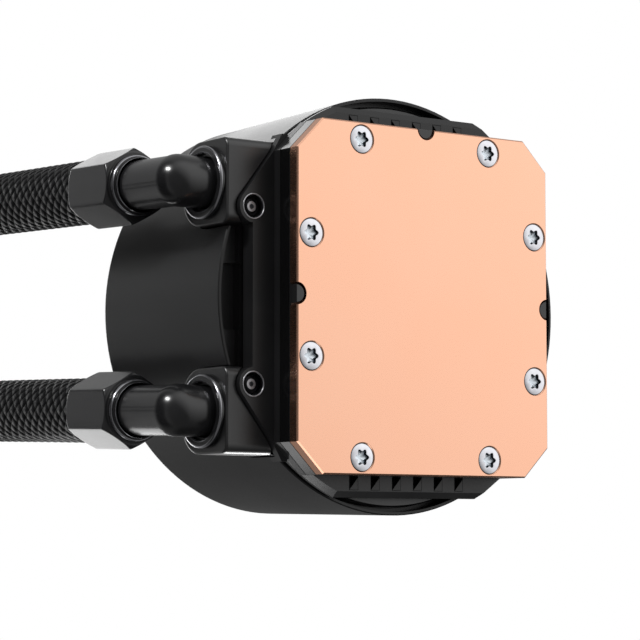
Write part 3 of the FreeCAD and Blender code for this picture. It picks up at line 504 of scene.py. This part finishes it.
def makeFerrule(name, centre, axis, replaced, body):
    # the turned sleeve with its stepped nose, cut by a hexagon
    corner = ferrule["flats"] / math.sqrt(3)
    length, edge = ferrule["length"], ferrule["edge"]
    nose, noseLow = ferrule["nose"], -ferrule["noseLength"]
    step, stepLow = ferrule["step"], -ferrule["stepLength"]
    profile = [(ferrule["bore"], length), (nose - ferrule["lip"], noseLow), (nose, noseLow),
               (nose, stepLow), (step, stepLow), (step, 0.0), (corner - edge, 0.0), (corner, edge),
               (corner, length - edge), (corner - edge, length)]
    # how far each corner is rounded, in millimetres
    reach = np.array([0.2, 0.12, 0.5, 0.1, 0.5, 0.1, 0.3, 0.3, 0.3, 0.25]) * millimetre
    rounded = roundCorners(profile, reach, ferrule["steps"])
    share = np.linspace(0.0, 1.0, ferrule["bevelRows"])[1:-1, None]

    def bevelBefore(row):
        return rounded[row - 1:row] * (1 - share) + rounded[row:row + 1] * share

    # more rows across the two bevels, which end at the profile's eighth and tenth corners
    front, back = 7 * ferrule["steps"], 9 * ferrule["steps"]
    rounded = np.concatenate([rounded[:front], bevelBefore(front), rounded[front:back],
                              bevelBefore(back), rounded[back:]])
    columns = ferrule["columns"]
    points = turned(rounded, centre, axis, (1.0, 0.0, 0.0), columns, hexRadius)
    addPiece(name, [(points, True, True)], ferruleFinish, replaced, body,
             rowUv(len(rounded), columns), 28.0)


def makeElbow(name, y, replaced, body):
    # rings along one leg end at the mitre on the inner side, turn through a ball on the outer side,
    # and run up the other leg; the bore comes back the same way
    corner = np.array([port["elbowX"], y, port["z"]])
    alongX = np.array([1.0, 0.0, 0.0])
    up = legDirection(port["lean"])
    side = np.cross(up, alongX)
    angle = np.linspace(0.0, 2 * math.pi, elbow["columns"], endpoint=False)
    cosine, sine = np.cos(angle)[:, None], np.sin(angle)[:, None]
    inner = np.maximum(cosine, 0.0)

    def leg(radius, ends, outwards, across):
        ends = np.asarray(ends, float)[:, None, None]
        radius = np.broadcast_to(np.asarray(radius, float), len(ends))[:, None, None]
        reach = np.maximum(ends, radius * inner[None])
        return corner + reach * outwards + radius * (cosine * across + sine * side)[None]

    def ball(radius, turns):
        turn = np.asarray(turns)[:, None, None]
        outward = np.cos(turn) * up + np.sin(turn) * alongX
        crown = radius * (np.minimum(cosine, 0.0)[None] * outward)
        mitre = radius * (inner * (alongX + up))[None]
        return corner + crown + mitre + radius * (sine * side)[None]

    stepX = elbow["stepX"] - port["elbowX"]
    endX = elbow["endX"] - port["elbowX"]
    topZ = elbow["topZ"] - port["z"]
    outer, spigot, bore = elbow["radius"], elbow["spigot"], elbow["bore"]
    dome, upright = elbow["dome"], elbow["upright"]
    deep, bevel, fine = elbow["deep"], elbow["bevel"], elbow["fine"]
    turns = np.linspace(0.0, math.pi / 2, elbow["turns"])
    rows = [leg([bore, spigot - bevel, spigot, spigot, outer - fine, outer, outer, dome, dome],
                [endX, endX, endX - bevel, stepX, stepX, stepX - fine, elbow["shoulder"],
                 elbow["neck"], 0.0], alongX, up),
            ball(dome, turns),
            leg([dome, dome, upright, upright, upright, upright, bore],
                [fine, 2 * fine, 3 * fine, 5 * fine, deep, topZ, topZ], up, alongX),
            leg([bore, bore], [deep, 0.0], up, alongX),
            ball(bore, turns[::-1]),
            leg([bore, bore], [0.0, deep], alongX, up)]
    addPiece(name, [(np.concatenate(rows), True, True)], finishes["fitting_black"],
             replaced, body, sharp=38.0)


def makeCollar(name, y, replaced):
    # a turned ring: a rounded lip on the boss face and a short thread inside it
    lip = collar["bossX"] - collar["faceX"]
    deep = lip + collar["depth"]
    profile = [(collar["bore"], collar["mouthDepth"]), (collar["mouth"], collar["mouthDepth"]),
               (collar["mouth"], 0.0), (collar["radius"], 0.0), (collar["radius"], lip),
               (collar["thread"], lip), (collar["thread"], deep), (collar["bore"], deep)]
    rounded = roundCorners(profile, np.array([0.1, 0.1, 0.35, 0.4, 0.1, 0.1, 0.1, 0.1]) * millimetre)
    columns = collar["columns"]
    points = turned(rounded, (collar["faceX"], y, port["z"]), (1.0, 0.0, 0.0), (0.0, 1.0, 0.0), columns)
    addPiece(name, [(points, True, True)], collarFinish, replaced, "root",
             rowUv(len(rounded), columns))


for side, y in (("Upper", -port["y"]), ("Lower", port["y"])):
    tag = side.lower()
    up = legDirection(port["lean"])
    centre = np.array([port["elbowX"], y, port["z"]]) + up * (ferrule["nearZ"] - port["z"])
    makeElbow("elbow" + side, y, ["elbow_" + tag], tag + "_swivel")
    makeFerrule("ferrule" + side, centre, up, ["ferrule_" + tag], tag + "_swivel")
    makeCollar("collar" + side, y, ["port_collar_" + tag])
    makeFerrule("radiatorFerrule" + side, (radiator["x"], y, radiator["ferruleZ"]), (0.0, 0.0, 1.0),
                ["radiator_ferrule_" + tag], "root")
print("fittings made")

# wall and floor: the colours of the painted shade on the recess wall and rim, and of the painted highlight on
# the recess floor
screws = {"head": 0.00255, "shank": 0.00125, "sink": 0.0001, "length": 0.009, "starMean": 0.00122,
          "starSwing": 0.0002, "starDepth": 0.0009, "tip": 0.0003, "floorEdge": 0.0001,
          "mouthEdge": 0.00012, "rim": 0.00026, "rimDepth": 0.00015, "columns": 96,
          "wall": (0.03, 0.032, 0.036), "wallFrom": 0.00002, "wallTo": 0.00008,
          "floor": (0.74, 0.80, 0.86), "floorFrom": 0.00025, "floorTo": 0.00012,
          "places": [(-25.15, -10.7), (-25.15, 10.7), (25.15, -13.3), (25.15, 13.3),
                     (-14.3, -27.95), (-14.3, 27.95), (14.3, -27.95), (14.3, 27.95)]}


def makePlateScrewFinish():
    # by depth from the contact face: bright head, near-black painted shade on the rim and recess wall,
    # painted highlight on the recess floor
    material, tree, surface = makeFinish("plate_screw", looks["screw_steel"])
    depth = axesOf(tree, coordinates(tree))[2]
    sink, star = screws["sink"], screws["starDepth"]
    wall = spread(tree, depth, 0.0, 1.0, sink + screws["wallFrom"], sink + screws["wallTo"])
    floor = spread(tree, depth, 0.0, 1.0, star - screws["floorFrom"], star - screws["floorTo"])
    coverColour(tree, surface, wall, blendColour(tree, floor, screws["wall"], screws["floor"]))
    return material


def makePlateScrews():
    # one head turned from the recess floor outwards; the recess wall follows mean + swing * cos(6 a)
    sink, depth = screws["sink"], screws["starDepth"]
    head, shank = screws["head"], screws["shank"]
    angle = np.linspace(0.0, 2 * math.pi, screws["columns"], endpoint=False)[None, :]
    lobes = screws["starMean"] + screws["starSwing"] * np.cos(6 * angle)
    height = np.array([depth + screws["tip"], depth, depth - screws["floorEdge"],
                       sink + screws["mouthEdge"], sink, sink, sink + screws["rimDepth"],
                       sink + head - shank, screws["length"], screws["length"]])[:, None]
    # the rows of the recess take these shares of the lobes, and the other rows are plain rings
    share = np.array([0.0, 0.9, 0.97, 1.0, 1.07, 0, 0, 0, 0, 0])[:, None]
    plain = np.array([0, 0, 0, 0, 0, head - screws["rim"], head, shank, shank, 0])[:, None]
    radius = share * lobes + plain
    spots = np.array(screws["places"])[:, None, None, :] * millimetre
    x = spots[..., 0] + radius * np.cos(angle)
    y = spots[..., 1] + radius * np.sin(angle)
    z = np.broadcast_to(height, x.shape)
    grids = [(heads, False, True) for heads in np.stack([x, y, z], -1)]
    addPiece("plateScrews", grids, makePlateScrewFinish(), ["plate_screws"])


earLook = {"dark": (0.012, 0.012, 0.013), "light": (0.46, 0.46, 0.48), "metal": 1.0, "patch": 500.0,
           "grain": 4000.0, "rough": (0.25, 0.38), "depth": 0.00001, "bump": 0.25,
           "spotRadius": 0.0009, "spotBlur": 0.00005, "rimRadius": 0.00198, "rimBlur": 0.00003}
earScrews = {"x": -0.0325, "y": 0.01545, "top": 0.0077, "end": 0.0119, "head": 0.0018, "flat": 0.00088,
             "headHeight": 0.0015, "dome": 0.0007, "shank": 0.0010, "socket": 0.00045,
             "socketDepth": 0.0009, "socketEdge": 0.00008, "rimOuter": 0.00229, "rimInner": 0.00203,
             "rimLow": 0.00695, "rimHigh": 0.0090, "columns": 72}


def makeEarFinish():
    # bright inside a radius round each screw's axis, black outside it, and bright again on the rim: the
    # bright spot and rim are painted highlights, and the black ring on the dome is painted shade
    material, tree, surface = makeFinish("ear_screw", earLook)
    x, y, _ = axesOf(tree, coordinates(tree))
    acrossX = calc(tree, "SUBTRACT", x, earScrews["x"])
    acrossY = calc(tree, "SUBTRACT", calc(tree, "ABSOLUTE", y), earScrews["y"])
    away = calc(tree, "SQRT", calc(tree, "ADD", calc(tree, "MULTIPLY", acrossX, acrossX),
                                   calc(tree, "MULTIPLY", acrossY, acrossY)))
    spot, spotBlur = earLook["spotRadius"], earLook["spotBlur"]
    rim, rimBlur = earLook["rimRadius"], earLook["rimBlur"]
    mask = calc(tree, "MULTIPLY", spread(tree, away, 0.0, 1.0, spot - spotBlur, spot + spotBlur),
                spread(tree, away, 1.0, 0.0, rim - rimBlur, rim + rimBlur))
    tree.links.new(blendColour(tree, mask, earLook["light"], earLook["dark"]),
                   surface.inputs["Base Color"])
    return material


def makeEarScrews():
    # a domed head round a small six-sided socket, turned from the socket floor outwards
    look = earScrews
    angle = np.linspace(0.0, 2 * math.pi, look["columns"], endpoint=False)[None, :]
    turn = (angle + math.pi / 6) % (math.pi / 3) - math.pi / 6
    hexagon = look["socket"] * math.cos(math.pi / 6) / np.cos(turn)
    low, high = look["top"], look["top"] + look["headHeight"]
    swell = np.linspace(0.0, math.pi / 2, 7)[1:]
    dome = look["flat"] + (look["head"] - look["flat"]) * np.sin(swell)
    domeZ = low + look["dome"] * (1 - np.cos(swell))
    height = np.concatenate([[low + look["socketDepth"]] * 2, [low + look["socketEdge"], low, low],
                             domeZ, [high, high, look["end"], look["end"]]])[:, None]
    # the rows of the socket take these shares of the hexagon, and the other rows are plain rings
    share = np.concatenate([[0.0, 1.0, 1.0, 1.1], np.zeros(11)])[:, None]
    plain = np.concatenate([np.zeros(4), [look["flat"]], dome,
                            [look["head"], look["shank"], look["shank"], 0.0]])[:, None]
    radius = share * hexagon + plain
    places = np.array([(look["x"], -look["y"]), (look["x"], look["y"])])
    x = places[:, None, None, 0] + radius * np.cos(angle)
    y = places[:, None, None, 1] + radius * np.sin(angle)
    z = np.broadcast_to(height, x.shape)
    grids = [(heads, False, True) for heads in np.stack([x, y, z], -1)]
    rim = roundCorners([(look["rimOuter"], look["rimHigh"]), (look["rimOuter"], look["rimLow"]),
                        (look["rimInner"], look["rimLow"]), (look["rimInner"], look["rimHigh"])],
                       np.array([0.02, 0.12, 0.12, 0.02]) * millimetre)
    for spotX, spotY in places:
        ring = turned(rim, (spotX, spotY, 0.0), (0.0, 0.0, 1.0), (1.0, 0.0, 0.0), look["columns"])
        grids.append((ring, True, True))
    addPiece("earScrews", grids, makeEarFinish(), ["ear_screws"])


makePlateScrews()
makeEarScrews()
print("screws made")

ledgeWedges = {"count": 6, "pitch": 0.00475, "shift": 0.0008, "width": 0.0020, "innerY": 0.0312,
               "outerY": 0.03348, "top": 0.00702, "depth": 0.0017, "edge": 0.00014}


def prism(outline, low, high, edge):
    # a flat outline drawn out from low to high, with a narrow bevel round its low face
    middle = outline.mean(0)
    reach = np.abs(outline - middle).max()
    inset = middle + (outline - middle) * (1 - edge / reach)
    rings = [np.broadcast_to(middle, outline.shape), inset, outline, outline,
             np.broadcast_to(middle, outline.shape)]
    heights = [low, low, low + edge, high, high]
    return np.stack([np.column_stack([ring, np.full(len(outline), height)])
                     for ring, height in zip(rings, heights)])


def makeLedgeWedges():
    # a three-sided filler in each ledge slot leaves the open corner that the photograph shows
    look = ledgeWedges
    inner, outer = look["innerY"], look["outerY"]
    rights = (np.arange(look["count"]) - (look["count"] - 1) / 2) * look["pitch"] + look["shift"]
    rights = rights + look["width"] / 2
    grids = []
    for side in (-1.0, 1.0):
        for right in rights:
            left = right - look["width"]
            outline = np.array([(right, side * inner), (right, side * outer), (left, side * outer)])
            filler = prism(outline, look["top"], look["top"] + look["depth"], look["edge"])
            grids.append((filler, False, True))
    addPiece("ledgeWedges", grids, finishes["moulded_black"], [])


tabs = {"radius": 0.00162, "top": 0.00022, "root": 0.0025, "edge": 0.00014, "steps": 25,
        "places": [((-0.0282, 0.0), (1.0, 0.0)), ((0.0282, 0.0), (-1.0, 0.0)), ((0.0, -0.0310), (0.0, 1.0))]}


def makeTabs():
    # half-round tabs of the frame stand in the plate's three edge notches
    look = tabs
    turn = np.linspace(-math.pi / 2, math.pi / 2, look["steps"])[:, None]
    grids = []
    for place, inwards in look["places"]:
        inwards = np.array(inwards)
        across = np.array([-inwards[1], inwards[0]])
        outline = np.array(place) + look["radius"] * (np.cos(turn) * inwards + np.sin(turn) * across)
        grids.append((prism(outline, look["top"], look["root"], look["edge"]), False, True))
    addPiece("frameTabs", grids, finishes["housing_black"], [])


makeTabs()
makeLedgeWedges()
print("ledge wedges and frame tabs made")

fins = {"strips": 13, "firstY": -0.0552, "pitchY": 0.0092, "swing": 0.00344, "folds": 64, "steps": 4,
        "lowZ": 0.01415, "highZ": 0.13585, "sheet": 0.00013, "depth": 0.018, "stations": 5,
        "upright": 2.2, "wave": 0.00012}


def makeFins():
    # each strip is a folded sheet: y = swing * tanh(k sin(pi s)) / tanh(k), with round bends
    look = fins
    s = np.linspace(0.0, look["folds"], look["folds"] * look["steps"] + 1)
    z = look["lowZ"] + (look["highZ"] - look["lowZ"]) * s / look["folds"]
    k = look["upright"]
    y = look["swing"] * np.tanh(k * np.sin(math.pi * (s + 0.5))) / math.tanh(k)
    slopeY, slopeZ = np.gradient(y), np.gradient(z)
    reach = np.hypot(slopeY, slopeZ)
    offY, offZ = -slopeZ / reach * look["sheet"] / 2, slopeY / reach * look["sheet"] / 2
    stations = np.arange(look["stations"])
    x = radiator["x"] + look["depth"] * (stations / (look["stations"] - 1) - 0.5)
    wave = look["wave"] * (-1.0) ** stations
    ringX = np.concatenate([x, x[::-1]])[None, :]
    side = np.concatenate([np.ones(len(x)), -np.ones(len(x))])[None, :]
    lift = np.concatenate([wave, wave[::-1]])[None, :]
    pointsY = y[:, None] + side * offY[:, None]
    pointsZ = z[:, None] + side * offZ[:, None] + lift
    strip = np.stack([np.broadcast_to(ringX, pointsY.shape), pointsY, pointsZ], -1)
    low = np.broadcast_to(strip[:1].mean(1, keepdims=True), strip[:1].shape)
    high = np.broadcast_to(strip[-1:].mean(1, keepdims=True), strip[-1:].shape)
    strip = np.concatenate([low, strip, high])
    grids = [(strip + [0.0, look["firstY"] + i * look["pitchY"], 0.0], False, True)
             for i in range(look["strips"])]
    addPiece("radiatorFins", grids, finishes["radiator_core"], ["radiator_fins"],
             sharp=50.0)


makeFins()
print("fins made")

# the camera is fitted to the corners and the screws of the photographed cold plate
view = {"lens": 143.94, "sensor": 36.0, "far": 20.0,
        "rows": ((0.8121, -0.0505, -0.5813, -0.2803), (0.0, -0.9962, 0.0866, 0.0427),
                 (-0.5835, -0.0703, -0.8090, -0.3575), (0.0, 0.0, 0.0, 1.0))}
camera = bpy.data.objects.new("camera", bpy.data.cameras.new("camera"))
scene.collection.objects.link(camera)
camera.data.lens = view["lens"]
camera.data.sensor_width = view["sensor"]
camera.data.clip_end = view["far"]
camera.matrix_world = Matrix(view["rows"])
scene.camera = camera

# a little below the contact face, so that the two never lie in one plane
paperFloor = {"reach": 3.0, "low": -0.0002, "shade": 0.85, "rough": 0.8}


def makeFloor():
    # seen from above it is a pale floor; seen from below it lets the view and the light through
    mesh = bpy.data.meshes.new("floor")
    reach, low = paperFloor["reach"], paperFloor["low"]
    mesh.from_pydata([(-reach, -reach, low), (reach, -reach, low), (reach, reach, low), (-reach, reach, low)],
                     [], [(0, 1, 2, 3)])
    floor = bpy.data.objects.new("floor", mesh)
    scene.collection.objects.link(floor)
    material, tree, surface = makeMaterial("floorPaper")
    output = next(n for n in tree.nodes if n.type == "OUTPUT_MATERIAL")
    surface.inputs["Base Color"].default_value = (*[paperFloor["shade"]] * 3, 1.0)
    surface.inputs["Roughness"].default_value = paperFloor["rough"]
    clear = tree.nodes.new("ShaderNodeBsdfTransparent")
    mix = tree.nodes.new("ShaderNodeMixShader")
    tree.links.new(tree.nodes.new("ShaderNodeNewGeometry").outputs["Backfacing"], mix.inputs[0])
    tree.links.new(surface.outputs[0], mix.inputs[1])
    tree.links.new(clear.outputs[0], mix.inputs[2])
    tree.links.new(mix.outputs[0], output.inputs["Surface"])
    mesh.materials.append(material)
    floor.visible_diffuse = False
    floor.visible_glossy = False
    floor.visible_shadow = False


# strengths, and the ranges of direction over which each part of the studio fades
studio = {"paper": 1.06, "paperSlope": 1.1, "paperMiddle": 0.70, "paperLow": 0.15, "paperHigh": 1.25,
          "level": (-0.40, 0.0), "above": 0.43, "dim": 0.2, "dimRange": (0.15, 0.45),
          "corner": 0.15, "cornerRange": (0.60, 0.85), "gap": 0.96, "gapSide": (-0.50, -0.15),
          "gapLow": (-0.15, 0.05), "gapHigh": (0.66, 0.84), "soft": 0.6}


def makeWorld():
    # white to the camera; other rays meet a soft studio, pale below and dimmer above
    world = bpy.data.worlds.new("studio")
    scene.world = world
    world.use_nodes = True
    tree = world.node_tree
    tree.nodes.clear()
    output = tree.nodes.new("ShaderNodeOutputWorld")
    x, y, z = axesOf(tree, coordinates(tree, "Generated"))
    below = spread(tree, z, 1.0, 0.0, *studio["level"])
    # under the plate the paper falls off from one corner of the view to the other
    slope = calc(tree, "MULTIPLY", calc(tree, "SUBTRACT", x, y), studio["paperSlope"])
    paper = calc(tree, "ADD", slope, studio["paper"] - studio["paperMiddle"] * studio["paperSlope"])
    paper = calc(tree, "MINIMUM", calc(tree, "MAXIMUM", paper, studio["paperLow"]), studio["paperHigh"])
    # above the level the room is even, and dimmer towards (+X, +Y)
    along = calc(tree, "MULTIPLY", calc(tree, "ADD", x, y), math.sqrt(0.5))
    above = calc(tree, "MULTIPLY",
                 spread(tree, along, studio["above"], studio["dim"], *studio["dimRange"]),
                 spread(tree, along, 1.0, studio["corner"], *studio["cornerRange"]))
    glow = calc(tree, "ADD", calc(tree, "MULTIPLY", below, paper),
                calc(tree, "MULTIPLY", calc(tree, "SUBTRACT", 1.0, below), above))
    # a dark patch round -X, a little above the level: 1 - gap * (towards -X) * (near the level)
    towards = spread(tree, x, 1.0, 0.0, *studio["gapSide"])
    level = calc(tree, "MULTIPLY", spread(tree, z, 0.0, 1.0, *studio["gapLow"]),
                 spread(tree, z, 1.0, 0.0, *studio["gapHigh"]))
    patch = calc(tree, "MULTIPLY", calc(tree, "MULTIPLY", towards, level), studio["gap"])
    glow = calc(tree, "MULTIPLY", glow, calc(tree, "SUBTRACT", 1.0, patch))
    path = tree.nodes.new("ShaderNodeLightPath")
    mirrored = calc(tree, "MULTIPLY", path.outputs["Is Glossy Ray"], glow)
    soft = calc(tree, "MULTIPLY", path.outputs["Is Diffuse Ray"], studio["soft"])
    seen = calc(tree, "MAXIMUM", path.outputs["Is Camera Ray"], path.outputs["Is Transmission Ray"])
    total = calc(tree, "MAXIMUM", calc(tree, "MAXIMUM", mirrored, soft), seen)
    light = tree.nodes.new("ShaderNodeBackground")
    light.inputs["Color"].default_value = (1.0, 1.0, 1.0, 1.0)
    tree.links.new(total, light.inputs["Strength"])
    tree.links.new(light.outputs[0], output.inputs["Surface"])


# the pieces that each group of lamps lights
fittings = ["elbowUpper", "elbowLower", "ferruleUpper", "ferruleLower", "collarUpper", "collarLower",
            "hoseUpper", "hoseLower"]
base = ["pump_base", "seal_frame", "pump_housing", "earScrews", "ledgeWedges", "frameTabs"]
pumpHead = (-0.03, 0.0, 0.02)
lamps = {
    "overhead": {"place": (0.1, 0.0, 1.5), "target": pumpHead, "size": (0.9, 0.9), "power": 8.0},
    "keySmall": {"place": (-0.41, -0.34, -0.015), "target": pumpHead, "size": (0.04, 0.11), "power": 2.3,
                 "lights": fittings + base + ["cap_shell"]},
    "hoseStrip": {"place": (-0.036, 0.0385, 0.068), "target": (-0.0452, 0.0207, 0.068),
                  "size": (0.020, 0.048), "power": 0.006, "lights": fittings},
    "capPanel": {"place": (0.003, -0.057, 0.058), "target": (0.003, -0.050, 0.0),
                 "size": (0.052, 0.030), "power": 0.0095,
                 "lights": ["pump_base", "seal_frame", "pump_housing", "cap_shell"]},
    "cornerPanel": {"place": (-0.033, 0.076, 0.068), "target": (-0.026, 0.029, 0.003),
                    "size": (0.016, 0.022), "power": 0.0016, "lights": base},
    "bevelPanel": {"place": (-0.044, 0.115, -0.039), "target": (-0.024, 0.030, 0.009),
                   "size": (0.080, 0.030), "power": 0.065, "lights": ["pump_base"]},
    "facetPanel": {"place": (-0.044, 0.115, -0.039), "target": (-0.024, 0.030, 0.009),
                   "size": (0.080, 0.030), "power": 0.013, "lights": ["cold_plate"]},
    "ferrulePanel": {"place": (-0.014, -0.057, 0.101), "target": (-0.0431, -0.026, 0.036),
                     "size": (0.030, 0.030), "power": 0.0035, "lights": ["ferruleUpper"]},
    "bossPanel": {"place": (-0.006, 0.062, 0.042), "target": (-0.030, 0.0285, 0.013),
                  "size": (0.040, 0.022), "power": 0.028, "lights": ["pump_housing"]},
}


def addLamp(name, look):
    # a lamp that names its pieces lights only those, so the floor keeps clear of small bright spots
    lamp = bpy.data.lights.new(name, "AREA")
    lamp.shape = "RECTANGLE"
    lamp.size, lamp.size_y = look["size"]
    lamp.energy = look["power"]
    holder = bpy.data.objects.new(name, lamp)
    scene.collection.objects.link(holder)
    holder.location = look["place"]
    holder.visible_camera = False
    aim = Vector(look["target"]) - Vector(look["place"])
    holder.rotation_euler = aim.to_track_quat("-Z", "Y").to_euler()
    if "lights" in look:
        lit = bpy.data.collections.new(name + "Lights")
        for piece in look["lights"]:
            lit.objects.link(nodes[piece] if piece in nodes else bpy.data.objects[piece])
        holder.light_linking.receiver_collection = lit


makeFloor()
makeWorld()
for name, look in lamps.items():
    addLamp(name, look)
scene.view_settings.view_transform = "Standard"
print("camera, floor and light set")
